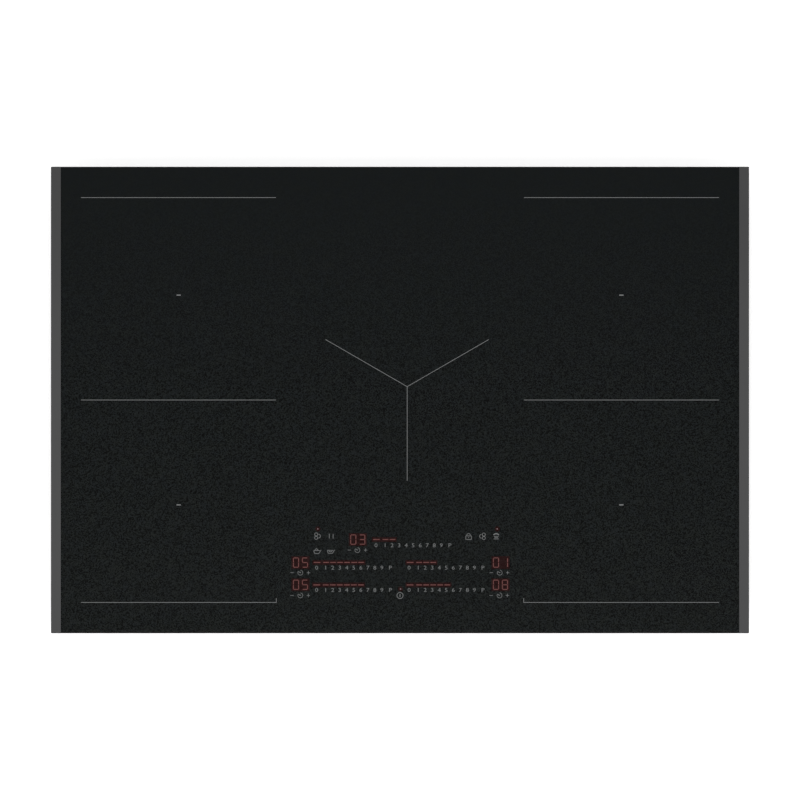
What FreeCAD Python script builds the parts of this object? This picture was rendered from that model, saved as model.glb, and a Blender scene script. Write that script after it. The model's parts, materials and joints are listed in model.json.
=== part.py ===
import FreeCAD, Part
import math
import os
import re

import Sketcher

# Built-in induction hob: a glass top with side trims over a sheet-steel casing that holds five coils.
# Millimetres, +Z up, +Y to the rear. The origin is the middle of the casing's underside.

SIZES = {
    # glass top and its side trims
    "overall_width": 778,
    "overall_depth": 520,
    "glass_thick": 4,
    "glass_bevel": 1.1,
    "rim_height": 40,
    "trim_width": 11,
    "trim_wall": 1,
    "trim_rise": 0.9,
    "trim_corner": 1,
    "trim_end_bevel": 0.6,
    "bond_gap": 0.2,
    # printed marks on the glass
    "print_thick": 0.04,
    "line_width": 0.6,
    "line_margin": 0.7,
    "line_short": 1,
    "line_past": 1.6,
    "tick_length": 5,
    "dash_length": 4.7,
    "dash_width": 1.3,
    "mark_arm": 105,
    # worktop seal
    "seal_thick": 1.5,
    "seal_width": 9,
    "seal_inset": 3,
    # casing
    "rim_side": 19,
    "rim_end": 20,
    "tray_height": 38.2,
    "tray_sheet": 0.8,
    "tray_corner": 4,
    "bead_width": 8,
    "bead_rise": 0.9,
    "bead_x": 115,
    "bead_front": 100,
    "bead_short": 70,
    "slot_width": 3.5,
    "slot_pitch": 7,
    "inlet_slots": 9,
    "inlet_length": 60,
    "outlet_slots": 22,
    "outlet_height": 18,
    "outlet_low": 8,
    "outlet_start": 165,
    "box_hole_side": 70,
    "box_hole_end": 40,
    "box_hole_radius": 2.2,
    # frame under the glass
    "frame_sheet": 0.8,
    "frame_drop": 14,
    "frame_leg": 12,
    "frame_gap": 0.2,
    "bond_thick": 0.7,
    "bond_width": 8,
    "bond_inset": 1,
    # casing screws
    "screw_radius": 1.9,
    "screw_play": 0.2,
    "screw_length": 6,
    "head_radius": 3.4,
    "head_height": 2,
    "screw_drop": 8,
    "side_screw_y": 80,
    "end_screw_in": 100,
    # snap springs
    "snap_from_end": 90,
    "snap_width": 30,
    "snap_thick": 0.6,
    "snap_curl": 1.6,
    "snap_tip_back": 1.58,
    "snap_low": 9,
    "snap_bulge_rise": 18,
    "snap_tip_rise": 26,
    "snap_bulge_out": 3.7,
    "snap_stand": 0.3,
    "holder_cheek": 1.2,
    "holder_play": 0.4,
    "pin_fit": 0.05,
    # terminal compartment
    "lid_width": 88,
    "lid_length": 46,
    "lid_thick": 1.6,
    "lid_gap": 0.4,
    "lid_rib": 1.6,
    "lid_rib_rise": 2.4,
    "lid_rib_rear": 6.4,
    "lid_rib_front": 4.8,
    "hinge_in": 50,
    "hinge_z": 2.4,
    "hinge_relief": 0.5,
    "barrel_radius": 2.2,
    "lid_pin_radius": 1.2,
    "lug_thick": 0.8,
    "lug_radius": 3,
    "block_width": 72,
    "block_depth": 24,
    "block_low": 9,
    "block_height": 15,
    "block_past_hinge": 16,
    "block_foot": 9,
    "block_foot_thick": 3,
    "poles": 5,
    "pole_pitch": 13,
    "pole_hole": 2.6,
    "terminal_screw_radius": 2.2,
    "terminal_screw_length": 5,
    # cable gland
    "gland_z": 13.2,
    "gland_radius": 8,
    "gland_bore": 5,
    "gland_flange_radius": 10.5,
    "gland_flange_thick": 2,
    "gland_out": 4,
    "gland_in": 12,
    # circuit boards
    "board_thick": 1.6,
    "board_low": 6,
    "support_radius": 3,
    "support_inset": 6,
    "filter_half": 70,
    "filter_depth": 64,
    "filter_gap": 10,
    "power_inner": 158,
    "power_side_gap": 6,
    "power_fan_gap": 12,
    "power_front": 120,
    # power parts
    "sink_inner": 165,
    "sink_outer": 225,
    "sink_front": 112,
    "sink_short": 7,
    "sink_base": 3,
    "sink_height": 17,
    "fin_count": 9,
    "fin_thick": 1.5,
    "transistor_count": 4,
    "transistor_width": 16,
    "transistor_thick": 5,
    "transistor_height": 15,
    "transistor_pitch": 42,
    "transistor_gap": 0.3,
    "capacitor_count": 3,
    "capacitor_width": 26,
    "capacitor_length": 42,
    "capacitor_height": 18,
    "capacitor_x": 262,
    "capacitor_pitch": 60,
    "can_radius": 9,
    "can_height": 16,
    "can_x": 310,
    "choke_radius": 15,
    "choke_hole": 6,
    "choke_height": 14,
    "choke_x": 40,
    "film_width": 30,
    "film_depth": 16,
    "film_gap": 4,
    "film_height": 17,
    # fans
    "fan_x": 190,
    "fan_wall_gap": 5,
    "fan_width": 96,
    "fan_length": 98,
    "fan_height": 24,
    "fan_wall": 1.5,
    "inlet_radius": 33,
    "impeller_radius": 38,
    "impeller_lift": 2.7,
    "impeller_height": 16,
    "impeller_disc": 1.2,
    "blade_count": 28,
    "blade_length": 8,
    "blade_thick": 1,
    "hub_radius": 15,
    "hub_wall": 1.8,
    "motor_radius": 12.4,
    "motor_height": 10,
    "shaft_radius": 1.5,
    "shaft_length": 6,
    "arm_width": 5,
    "arm_reach": 40,
    # coil units
    "plate_side_gap": 0.8,
    "plate_end_gap": 3,
    "plate_between": 29.2,
    "coil_shift": 4.9,
    "winding_side": 11.5,
    "winding_end": 9,
    "winding_flat": 16,
    "centre_coil_x": 8,
    "centre_coil_y": 14.9,
    "coil_gap": 0.2,
    "mica_thick": 0.5,
    "winding_thick": 3,
    "former_thick": 3.2,
    "plate_thick": 1.2,
    "centre_plate_half": 100,
    "winding_inner": 28,
    "centre_winding": 96,
    "former_margin": 3,
    "mica_margin": 1.5,
    "hub_hole": 12,
    "ferrite_count": 8,
    "ferrite_inner": 26,
    "ferrite_length": 52,
    "ferrite_width": 14,
    "ferrite_thick": 2.6,
    "ferrite_play": 0.3,
    "sensor_radius": 5,
    "sensor_flange": 8,
    "sensor_flange_thick": 1,
    # sprung posts
    "post_radius": 6.5,
    "post_height": 11.2,
    "pin_radius": 2.2,
    "pin_over": 3,
    "slide_fit": 0.08,
    "post_from_side": 4.2,
    "post_from_inner": 10.8,
    "post_from_end": 12,
    "centre_post_x": 85,
    "centre_post_y": 85.6,
    "spring_radius": 4.6,
    "spring_wire": 0.9,
    "spring_turns": 6,
    "spring_play": 0.05,
    # control unit
    "control_half": 135,
    "control_depth": 88,
    "control_gap": 1,
    "control_low": 26,
    "control_wall": 1.5,
    "control_drop": 3.9,
    "control_leg": 5,
    "pad_radius": 2.5,
    "pad_gap": 0.2,
    "display_depth": 10,
    "display_height": 2,
    "row_in": 70.5,
    "row_pitch": 25.3,
    "display_x": 65,
    "display_width": 112,
    "pad_drop": 9,
    "pad_pitch": 22,
}

# Heights and half sizes that several pieces share, each worked out from the sizes above.
PLACES = {
    "half_width": "overall_width / 2",
    "half_depth": "overall_depth / 2",
    "glass_half": "half_width - trim_wall - bond_gap",
    "glass_top": "rim_height + glass_thick",
    "leg_top": "rim_height - bond_thick",
    "leg_under": "leg_top - frame_sheet",
    "seal_under": "rim_height - seal_thick",
    "tray_x": "half_width - rim_side",
    "tray_y": "half_depth - rim_end",
    "frame_x": "tray_x - tray_sheet - frame_gap",
    "frame_y": "tray_y - tray_sheet - frame_gap",
    "screw_z": "leg_under - screw_drop",
    "end_screw_x": "tray_x - end_screw_in",
    "box_hole_x": "tray_x - box_hole_side",
    "box_hole_y": "tray_y - box_hole_end",
    "plate_out": "frame_x - frame_leg - plate_side_gap",
    "plate_in": "centre_coil_x + centre_plate_half + plate_between",
    "plate_half_x": "(plate_out - plate_in) / 2",
    "plate_half_y": "frame_y - frame_leg - plate_end_gap",
    "coil_x": "(plate_out + plate_in) / 2",
    "coil_y": "plate_half_y / 2 + coil_shift",
    "winding_half_x": "plate_half_x - winding_side",
    "winding_half_y": "plate_half_y / 2 - winding_end",
    "winding_corner": "min(winding_half_x; winding_half_y) - winding_flat",
    "line_inner": "plate_in + line_short",
    "line_outer": "plate_out - line_margin",
    "line_y": "plate_half_y + line_past",
    "mica_under": "rim_height - coil_gap - mica_thick",
    "winding_under": "mica_under - winding_thick",
    "former_under": "winding_under - former_thick",
    "plate_under": "former_under - plate_thick",
    "board_top": "board_low + board_thick",
    "sink_top": "board_top + sink_height",
    "snap_x": "tray_x + snap_stand + snap_curl + snap_thick",
    "snap_y": "tray_y - snap_from_end",
    "hinge_y": "tray_y - hinge_in",
    "block_y": "hinge_y + block_past_hinge",
    "filter_rear": "hinge_y - filter_gap",
    "filter_front": "filter_rear - filter_depth",
    "fan_y": "tray_y - fan_wall_gap - fan_length / 2",
    "power_outer": "tray_x - power_side_gap",
    "power_rear": "fan_y - fan_length / 2 - power_fan_gap",
    "sink_rear": "power_rear - sink_short",
    "lug_x": "lid_width / 2 + lid_gap",
    "fan_floor": "tray_sheet + fan_wall",
    "impeller_low": "fan_floor + impeller_lift",
    "shoulder": "tray_sheet + post_height",
    "control_front": "frame_y - frame_leg - control_gap",
    "control_rear": "control_front - control_depth",
    "rear_row_y": "control_front - row_in",
    "control_board_under": "rim_height - control_drop",
    "control_board_top": "control_board_under + board_thick",
}

doc = FreeCAD.newDocument("InductionHob")
sheet = doc.addObject("Spreadsheet::Sheet", "Sizes")
places = doc.addObject("App::VarSet", "Places")
nodes = {}


def fill_sheet():
    for row, (name, size) in enumerate(SIZES.items(), 1):
        sheet.set(f"A{row}", name)
        sheet.set(f"B{row}", str(size))
        sheet.setAlias(f"B{row}", name)
    doc.recompute()
    for name, text in PLACES.items():
        places.addProperty("App::PropertyFloat", name)
        places.setExpression(name, formula(text))
    doc.recompute()


def formula(text):
    """Write an expression of size names as one that reads the sheet and the shared places."""
    def owner(match):
        name = match.group(0)
        if name in SIZES:
            return f"Sizes.{name}"
        if name in PLACES:
            return f"Places.{name}"
        return name
    return re.sub(r"[a-z][a-z_]*", owner, str(text))


def number(name):
    """The value of one size or shared place."""
    return float(getattr(sheet if name in SIZES else places, name))


def bind(item, **texts):
    for prop, text in texts.items():
        item.setExpression(prop, formula(text))


def place(item, x="0", y="0", z="0"):
    for axis, text in (("x", x), ("y", y), ("z", z)):
        item.setExpression(f"Placement.Base.{axis}", formula(text))


def node(label, item):
    item.Label = label
    nodes[label] = item
    return item


# Plain solids placed by expressions

def block(name, x, y, z):
    """A box between two bounds along each axis."""
    item = doc.addObject("Part::Box", name)
    bind(item, Length=f"({x[1]}) - ({x[0]})", Width=f"({y[1]}) - ({y[0]})", Height=f"({z[1]}) - ({z[0]})")
    place(item, x[0], y[0], z[0])
    return item


def around(centre, size):
    """The two bounds of a size centred on a place."""
    return (f"{centre} - ({size}) / 2", f"{centre} + ({size}) / 2")


def rod(name, radius, length, x="0", y="0", z="0", lean=None):
    """A cylinder from its base centre along +Z, or leaned over to another axis."""
    item = doc.addObject("Part::Cylinder", name)
    bind(item, Radius=radius, Height=length)
    if lean:
        item.Placement = FreeCAD.Placement(FreeCAD.Vector(), lean)
    place(item, x, y, z)
    return item


def boolean(kind, name, base, tool):
    item = doc.addObject(kind, name)
    item.Base = base
    item.Tool = tool
    return item


def fuse(name, items):
    item = doc.addObject("Part::MultiFuse", name)
    item.Shapes = items
    return item


def group(name, items):
    item = doc.addObject("Part::Compound", name)
    item.Links = items
    return item


def mirrored(name, source):
    """The same piece on the other side of the middle plane."""
    item = doc.addObject("Part::Mirroring", name)
    item.Source = source
    item.Normal = FreeCAD.Vector(1, 0, 0)
    return item


# Pieces drawn as sketches and built up step by step

def new_body(name, x="0", y="0", z="0"):
    body = doc.addObject("PartDesign::Body", name)
    place(body, x, y, z)
    return body


def draw(body, plane="XY_Plane", level="0"):
    """A sketch on one of the body's own planes, moved along that plane's normal."""
    drawing = body.newObject("Sketcher::SketchObject", "Sketch")
    origin = next(f for f in body.Origin.OriginFeatures if f.Role == plane)
    drawing.AttachmentSupport = [(origin, "")]
    drawing.MapMode = "FlatFace"
    drawing.setExpression("AttachmentOffset.Base.z", formula(level))
    return drawing


def fix_point(drawing, curve, end, x, y):
    for kind, text in (("DistanceX", x), ("DistanceY", y)):
        index = drawing.addConstraint(Sketcher.Constraint(kind, -1, 1, curve, end, 0.5))
        drawing.setExpression(f"Constraints[{index}]", formula(text))


def polygon(drawing, points):
    first = drawing.GeometryCount
    count = len(points)
    turn = 2 * math.pi / count
    corners = [FreeCAD.Vector(math.cos(turn * i), math.sin(turn * i), 0) for i in range(count)]
    for i in range(count):
        drawing.addGeometry(Part.LineSegment(corners[i], corners[(i + 1) % count]), False)
    for i in range(count):
        drawing.addConstraint(Sketcher.Constraint("Coincident", first + i, 2, first + (i + 1) % count, 1))
    for i, (x, y) in enumerate(points):
        fix_point(drawing, first + i, 1, x, y)


def rectangle(drawing, x, y):
    polygon(drawing, [(x[0], y[0]), (x[1], y[0]), (x[1], y[1]), (x[0], y[1])])


def circle(drawing, radius, x="0", y="0"):
    round_one = Part.Circle(FreeCAD.Vector(1, 1, 0), FreeCAD.Vector(0, 0, 1), 1)
    curve = drawing.addGeometry(round_one, False)
    fix_point(drawing, curve, 3, x, y)
    index = drawing.addConstraint(Sketcher.Constraint("Radius", curve, 1.0))
    drawing.setExpression(f"Constraints[{index}]", formula(radius))


def pad(body, drawing, length, midplane=False, back=False):
    feature = body.newObject("PartDesign::Pad", "Pad")
    feature.Profile = drawing
    feature.Midplane = midplane
    feature.Reversed = back
    bind(feature, Length=length)
    return feature


def pocket(body, drawing, length=None, back=False):
    """A cut of a given depth, or right through both ways when it has none."""
    feature = body.newObject("PartDesign::Pocket", "Pocket")
    feature.Profile = drawing
    feature.Reversed = back
    if length is None:
        feature.Type = "ThroughAll"
        feature.Midplane = True
    else:
        bind(feature, Length=length)
    return feature


def row(body, feature, role, count, pitch):
    """Copies of a feature in a straight line along one of the body's axes."""
    pattern = body.newObject("PartDesign::LinearPattern", "Row")
    pattern.Originals = [feature]
    pattern.Direction = (next(f for f in body.Origin.OriginFeatures if f.Role == role), [""])
    bind(pattern, Occurrences=count, Length=f"({pitch}) * ({count} - 1)")
    body.Tip = pattern
    return pattern


def ring_of(body, feature, count):
    """Copies of a feature spaced round the body's own Z axis."""
    pattern = body.newObject("PartDesign::PolarPattern", "Ring")
    pattern.Originals = [feature]
    pattern.Axis = (next(f for f in body.Origin.OriginFeatures if f.Role == "Z_Axis"), [""])
    pattern.Angle = 360
    bind(pattern, Occurrences=count)
    body.Tip = pattern
    return pattern


def upright_edges(shape):
    """The names of a shape's straight edges that run along Z."""
    found = []
    for index, edge in enumerate(shape.Edges, 1):
        ends = [vertex.Point for vertex in edge.Vertexes]
        if len(ends) == 2 and (ends[0] - ends[1]).cross(FreeCAD.Vector(0, 0, 1)).Length < 1e-6:
            found.append(f"Edge{index}")
    return found


def round_corners(body, feature, radius):
    doc.recompute()
    fillet = body.newObject("PartDesign::Fillet", "Corners")
    fillet.Base = (feature, upright_edges(feature.Shape))
    bind(fillet, Radius=radius)
    return fillet


def hollow(body, feature, normal, wall):
    """Open the piece on the side that faces along the normal and leave walls of one thickness."""
    doc.recompute()
    reach = [face.CenterOfMass.dot(normal) for face in feature.Shape.Faces]
    open_face = f"Face{reach.index(max(reach)) + 1}"
    shell = body.newObject("PartDesign::Thickness", "Shell")
    shell.Base = (feature, [open_face])
    shell.Reversed = True
    shell.Join = 1
    bind(shell, Value=wall)
    return shell


# The pieces

def both(half):
    """Bounds the same distance either side of the middle."""
    return (f"-({half})", f"{half}")


def make_glass():
    body = new_body("glass_panel", z="rim_height")
    profile = draw(body, "YZ_Plane")
    polygon(profile, [
        ("-half_depth", "0"), ("half_depth", "0"),
        ("half_depth", "glass_thick - glass_bevel"), ("half_depth - glass_bevel", "glass_thick"),
        ("-half_depth + glass_bevel", "glass_thick"), ("-half_depth", "glass_thick - glass_bevel")])
    pad(body, profile, "2 * glass_half", midplane=True)
    node("glass_panel", body)


def make_trims():
    body = new_body("side_trim_right", z="rim_height")
    profile = draw(body, "XZ_Plane")
    inner = "half_width - trim_width"
    wall = "half_width - trim_wall"
    top = "glass_thick + trim_rise"
    polygon(profile, [
        (wall, "0"), ("half_width", "0"), ("half_width", top), (inner, top),
        (inner, "glass_thick"), (wall, "glass_thick")])
    bar = pad(body, profile, "overall_depth", midplane=True)
    doc.recompute()
    corner = body.newObject("PartDesign::Chamfer", "Ends")
    outer = max(vertex.X for vertex in bar.Shape.Vertexes)
    corner.Base = (bar, [name for name in upright_edges(bar.Shape)
                         if bar.Shape.getElement(name).CenterOfMass.x > outer - 1e-3])
    bind(corner, Size="trim_end_bevel")
    node("side_trim_right", body)
    node("side_trim_left", mirrored("side_trim_left", body))


def printed(name, x, y, length, width, turn=0):
    """One printed stroke from a start point along its own direction."""
    item = doc.addObject("Part::Box", name)
    bind(item, Length=length, Width=width, Height="print_thick")
    item.Placement.Rotation = FreeCAD.Rotation(FreeCAD.Vector(0, 0, 1), turn)
    side = math.radians(turn)
    place(item, f"{x} + {math.sin(side):.9f} * ({width}) / 2", f"{y} - {math.cos(side):.9f} * ({width}) / 2",
          "glass_top")
    return item


def make_zone_print():
    strokes = []
    for side in (-1, 1):
        start = "line_inner" if side > 0 else "-line_outer"
        for y in ("line_y", "0", "-line_y"):
            strokes.append(printed("Line", start, y, "line_outer - line_inner", "line_width"))
        strokes.append(printed("Tick", f"{side} * (line_inner - line_width / 2)", "-line_y - line_width / 2",
                               "tick_length", "line_width", 90))
        for end in (-1, 1):
            strokes.append(printed("Dash", f"{side} * coil_x - dash_length / 2", f"{end} * coil_y",
                                   "dash_length", "dash_width"))
    for turn in (30, 150, 270):
        strokes.append(printed("Arm", "centre_coil_x", "centre_coil_y", "mark_arm", "line_width", turn))
    node("zone_print", fuse("zone_print", strokes))


def make_seal():
    body = new_body("worktop_seal", z="seal_under")
    drawing = draw(body)
    rectangle(drawing, both("half_width - seal_inset"), both("half_depth - seal_inset"))
    within = "(seal_inset + seal_width)"
    rectangle(drawing, both(f"half_width - {within}"), both(f"half_depth - {within}"))
    pad(body, drawing, "seal_thick")
    node("worktop_seal", body)


def make_glass_frame():
    body = new_body("glass_frame", z="leg_under - frame_drop")
    drawing = draw(body)
    rectangle(drawing, both("frame_x"), both("frame_y"))
    solid = pad(body, drawing, "frame_drop + frame_sheet")
    solid = round_corners(body, solid, "tray_corner - tray_sheet")
    hollow(body, solid, FreeCAD.Vector(0, 0, -1), "frame_sheet")
    window = draw(body, level="frame_drop + frame_sheet")
    rectangle(window, both("frame_x - frame_leg"), both("frame_y - frame_leg"))
    pocket(body, window, "frame_sheet * 2")
    screw_holes(body, "screw_z - leg_under + frame_drop")
    node("glass_frame", body)


def screw_holes(body, height):
    """Holes for the casing screws through all four walls."""
    ends = draw(body, "XZ_Plane")
    sides = draw(body, "YZ_Plane")
    for side in (-1, 1):
        circle(ends, "screw_radius + screw_play", f"{side} * end_screw_x", height)
        circle(sides, "screw_radius + screw_play", f"{side} * side_screw_y", height)
    pocket(body, ends)
    pocket(body, sides)


def make_bond():
    body = new_body("glass_bond", z="leg_top")
    drawing = draw(body)
    for inset in ("bond_inset", "(bond_inset + bond_width)"):
        rectangle(drawing, both(f"frame_x - {inset}"), both(f"frame_y - {inset}"))
    pad(body, drawing, "bond_thick")
    node("glass_bond", body)


def make_tray():
    body = new_body("bottom_tray")
    drawing = draw(body)
    rectangle(drawing, both("tray_x"), both("tray_y"))
    solid = pad(body, drawing, "tray_height")
    solid = round_corners(body, solid, "tray_corner")
    hollow(body, solid, FreeCAD.Vector(0, 0, 1), "tray_sheet")
    tray_beads(body)
    tray_air_slots(body)
    tray_floor_holes(body)
    screw_holes(body, "screw_z")
    gland_hole = draw(body, "XZ_Plane", "-tray_y")
    circle(gland_hole, "gland_radius + pin_fit", "0", "gland_z")
    pocket(body, gland_hole, "tray_sheet", back=True)
    hinge_lugs(body)
    node("bottom_tray", body)


def tray_beads(body):
    """Pressed beads: a ridge inside over a groove outside."""
    for level, trim, back in (("tray_sheet", "0", False), ("0", "tray_sheet", True)):
        drawing = draw(body, level=level)
        for side in (-1, 1):
            rectangle(drawing, around(f"{side} * bead_x", f"bead_width - 2 * ({trim})"),
                      (f"-bead_front + {trim}", f"tray_y - bead_short - {trim}"))
        if back:
            pocket(body, drawing, "bead_rise", back=True)
        else:
            pad(body, drawing, "bead_rise")


def tray_air_slots(body):
    inlets = draw(body)
    for side in (-1, 1):
        first = f"{side} * fan_x - slot_pitch * (inlet_slots - 1) / 2"
        rectangle(inlets, around(first, "slot_width"), around("fan_y", "inlet_length"))
    row(body, pocket(body, inlets, "tray_sheet", back=True), "X_Axis", "inlet_slots", "slot_pitch")
    outlets = draw(body, "XZ_Plane", "tray_y")
    span = "slot_pitch * (outlet_slots - 1)"
    for first in ("outlet_start", f"-outlet_start - {span}"):
        rectangle(outlets, around(first, "slot_width"), ("outlet_low", "outlet_low + outlet_height"))
    row(body, pocket(body, outlets, "tray_sheet"), "X_Axis", "outlet_slots", "slot_pitch")


def tray_floor_holes(body):
    drawing = draw(body)
    rectangle(drawing, both("lug_x"), ("hinge_y - hinge_z - lid_gap - hinge_relief",
                                      "hinge_y + lid_length + lid_gap"))
    for x in (-1, 1):
        for y in (-1, 1):
            circle(drawing, "box_hole_radius", f"{x} * box_hole_x", f"{y} * box_hole_y")
    pocket(body, drawing, "tray_sheet", back=True)


def hinge_lugs(body):
    """Two upright lugs that carry the terminal lid's pins."""
    for level, back in (("lug_x", False), ("-lug_x", True)):
        drawing = draw(body, "YZ_Plane", level)
        rectangle(drawing, around("hinge_y", "2 * lug_radius"), ("tray_sheet", "hinge_z + lug_radius"))
        circle(drawing, "lid_pin_radius + pin_fit", "hinge_y", "hinge_z")
        pad(body, drawing, "lug_thick", back=back)


def casing_screw(name, x, y, axis):
    """A pan-head screw whose thread runs into the casing along an axis."""
    lean = FreeCAD.Rotation(FreeCAD.Vector(0, 0, 1), axis)
    head = rod(name, "head_radius", "head_height", lean=lean)
    thread = rod(name, "screw_radius", "head_height + screw_length", lean=lean)
    screw = fuse(name, [head, thread])
    place(screw, x, y, "screw_z")
    return screw


def make_casing_screws():
    screws = []
    for side in (-1, 1):
        for end in (-1, 1):
            screws.append(casing_screw("Screw", f"{side} * (tray_x + head_height)", f"{end} * side_screw_y",
                                       FreeCAD.Vector(-side, 0, 0)))
            screws.append(casing_screw("Screw", f"{side} * end_screw_x", f"{end} * (tray_y + head_height)",
                                       FreeCAD.Vector(0, -end, 0)))
    node("casing_screws", group("casing_screws", screws))


def make_snap_springs():
    """Leaf springs that grip the cut-out, each curled round the pin of a riveted holder."""
    for side, side_name in ((1, "right"), (-1, "left")):
        for end, end_name in ((1, "rear"), (-1, "front")):
            label = f"snap_spring_{end_name}_{side_name}"
            body = doc.addObject("PartDesign::Body", label)
            body.Placement.Rotation = FreeCAD.Rotation(FreeCAD.Vector(0, 0, 1), 0 if side > 0 else 180)
            place(body, f"{side} * snap_x", f"{end} * snap_y", "snap_low")
            snap_blade(body)
            node(label, body)


def snap_blade(body):
    curl = draw(body, "XZ_Plane")
    circle(curl, "snap_curl + snap_thick")
    pad(body, curl, "snap_width", midplane=True)
    blade = draw(body, "XZ_Plane")
    root = "snap_curl"
    tip = "snap_curl - snap_tip_back"
    polygon(blade, [
        (root, "0"), (f"{root} + snap_thick", "0"),
        ("snap_bulge_out + snap_thick / 2", "snap_bulge_rise"), (f"{tip} + snap_thick", "snap_tip_rise"),
        (tip, "snap_tip_rise"), ("snap_bulge_out - snap_thick / 2", "snap_bulge_rise")])
    pad(body, blade, "snap_width", midplane=True)
    bore = draw(body, "XZ_Plane")
    circle(bore, "snap_curl")
    pocket(body, bore)


def make_spring_holders():
    holders = []
    lean = FreeCAD.Rotation(FreeCAD.Vector(1, 0, 0), -90)
    span = "snap_width + 2 * holder_play"
    for side in (-1, 1):
        for end in (-1, 1):
            middle = f"{end} * snap_y"
            pieces = [rod("Pin", "snap_curl - pin_fit", f"{span} + 2 * holder_cheek", f"{side} * snap_x",
                          f"{middle} - ({span}) / 2 - holder_cheek", "snap_low", lean)]
            for face in (-1, 1):
                near = f"{middle} + {face} * (({span}) / 2 + holder_cheek / 2)"
                reach = ("tray_x", "snap_x + snap_curl") if side > 0 else ("-snap_x - snap_curl", "-tray_x")
                pieces.append(block("Cheek", reach, around(near, "holder_cheek"),
                                    around("snap_low", "2 * (snap_curl + snap_thick)")))
            holders.append(fuse("Holder", pieces))
    node("spring_holders", group("spring_holders", holders))


def make_terminal_lid():
    body = new_body("terminal_lid", y="hinge_y")
    plate = draw(body)
    rectangle(plate, both("lid_width / 2"), ("0", "lid_length"))
    pad(body, plate, "lid_thick")
    ribs = draw(body, level="lid_thick")
    for side in (-1, 1):
        rectangle(ribs, around(f"{side} * lid_width / 4", "lid_rib"),
                  ("lid_rib_rear", "lid_length - lid_rib_front"))
    pad(body, ribs, "lid_rib_rise")
    for radius, length in (("barrel_radius", "lid_width"), ("lid_pin_radius", "2 * (lug_x + lug_thick)")):
        barrel = draw(body, "YZ_Plane")
        circle(barrel, radius, "0", "hinge_z")
        pad(body, barrel, length, midplane=True)
    node("terminal_lid", body)


def make_terminal_block():
    body = new_body("terminal_block", y="block_y")
    profile = draw(body, "XZ_Plane")
    half = "block_width / 2"
    foot = "lug_x + lug_thick + block_foot"
    leg = "lug_x + lug_thick + lid_gap"
    top = "block_low + block_foot_thick"
    polygon(profile, [
        (f"-({foot})", "tray_sheet"), (f"-({leg})", "tray_sheet"), (f"-({leg})", "block_low"),
        (leg, "block_low"), (leg, "tray_sheet"), (foot, "tray_sheet"), (foot, top), (half, top),
        (half, "block_low + block_height"), (f"-({half})", "block_low + block_height"),
        (f"-({half})", top), (f"-({foot})", top)])
    pad(body, profile, "block_depth", midplane=True)
    wires = draw(body, "XZ_Plane")
    first = "-pole_pitch * (poles - 1) / 2"
    circle(wires, "pole_hole", first, "block_low + block_height / 2 + 1")
    row(body, pocket(body, wires), "X_Axis", "poles", "pole_pitch")
    wells = draw(body)
    circle(wells, "terminal_screw_radius + pin_fit", first)
    well = pocket(body, wells, "block_low + terminal_screw_length", back=True)
    row(body, well, "X_Axis", "poles", "pole_pitch")
    node("terminal_block", body)


def make_terminal_screws():
    count = int(number("poles"))
    screws = []
    for index in range(count):
        screws.append(rod("TerminalScrew", "terminal_screw_radius", "terminal_screw_length",
                          f"pole_pitch * ({index} - (poles - 1) / 2)", "block_y", "block_low"))
    node("terminal_screws", group("terminal_screws", screws))


def make_gland():
    body = new_body("cable_gland", y="tray_y")
    barrel = draw(body, "XZ_Plane", "-gland_out")
    circle(barrel, "gland_radius", "0", "gland_z")
    pad(body, barrel, "gland_out + tray_sheet + gland_in")
    flange = draw(body, "XZ_Plane", "tray_sheet")
    circle(flange, "gland_flange_radius", "0", "gland_z")
    pad(body, flange, "gland_flange_thick")
    bore = draw(body, "XZ_Plane")
    circle(bore, "gland_bore", "0", "gland_z")
    pocket(body, bore)
    node("cable_gland", body)


BOARD_CORNERS = {
    "filter_board": (("-filter_half", "filter_half"), ("filter_front", "filter_rear")),
    "power_board_right": (("power_inner", "power_outer"), ("-power_front", "power_rear")),
    "power_board_left": (("-power_outer", "-power_inner"), ("-power_front", "power_rear")),
}


def make_boards():
    supports = []
    for label, (x, y) in BOARD_CORNERS.items():
        body = new_body(label, z="board_low")
        drawing = draw(body)
        rectangle(drawing, x, y)
        pad(body, drawing, "board_thick")
        node(label, body)
        for near_x in (f"{x[0]} + support_inset", f"{x[1]} - support_inset"):
            for near_y in (f"{y[0]} + support_inset", f"{y[1]} - support_inset"):
                supports.append(rod("Support", "support_radius", "board_low - tray_sheet",
                                    near_x, near_y, "tray_sheet"))
    node("board_supports", group("board_supports", supports))


def make_heatsinks():
    body = new_body("heatsink_right", y="-sink_front", z="board_top")
    base = draw(body, "XZ_Plane")
    rectangle(base, ("sink_inner", "sink_outer"), ("0", "sink_base"))
    pad(body, base, "sink_front + sink_rear", back=True)
    fin = draw(body, "XZ_Plane")
    rectangle(fin, ("sink_inner", "sink_inner + fin_thick"), ("sink_base", "sink_height"))
    row(body, pad(body, fin, "sink_front + sink_rear", back=True), "X_Axis", "fin_count",
        "(sink_outer - sink_inner - fin_thick) / (fin_count - 1)")
    node("heatsink_right", body)
    node("heatsink_left", mirrored("heatsink_left", body))


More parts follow.
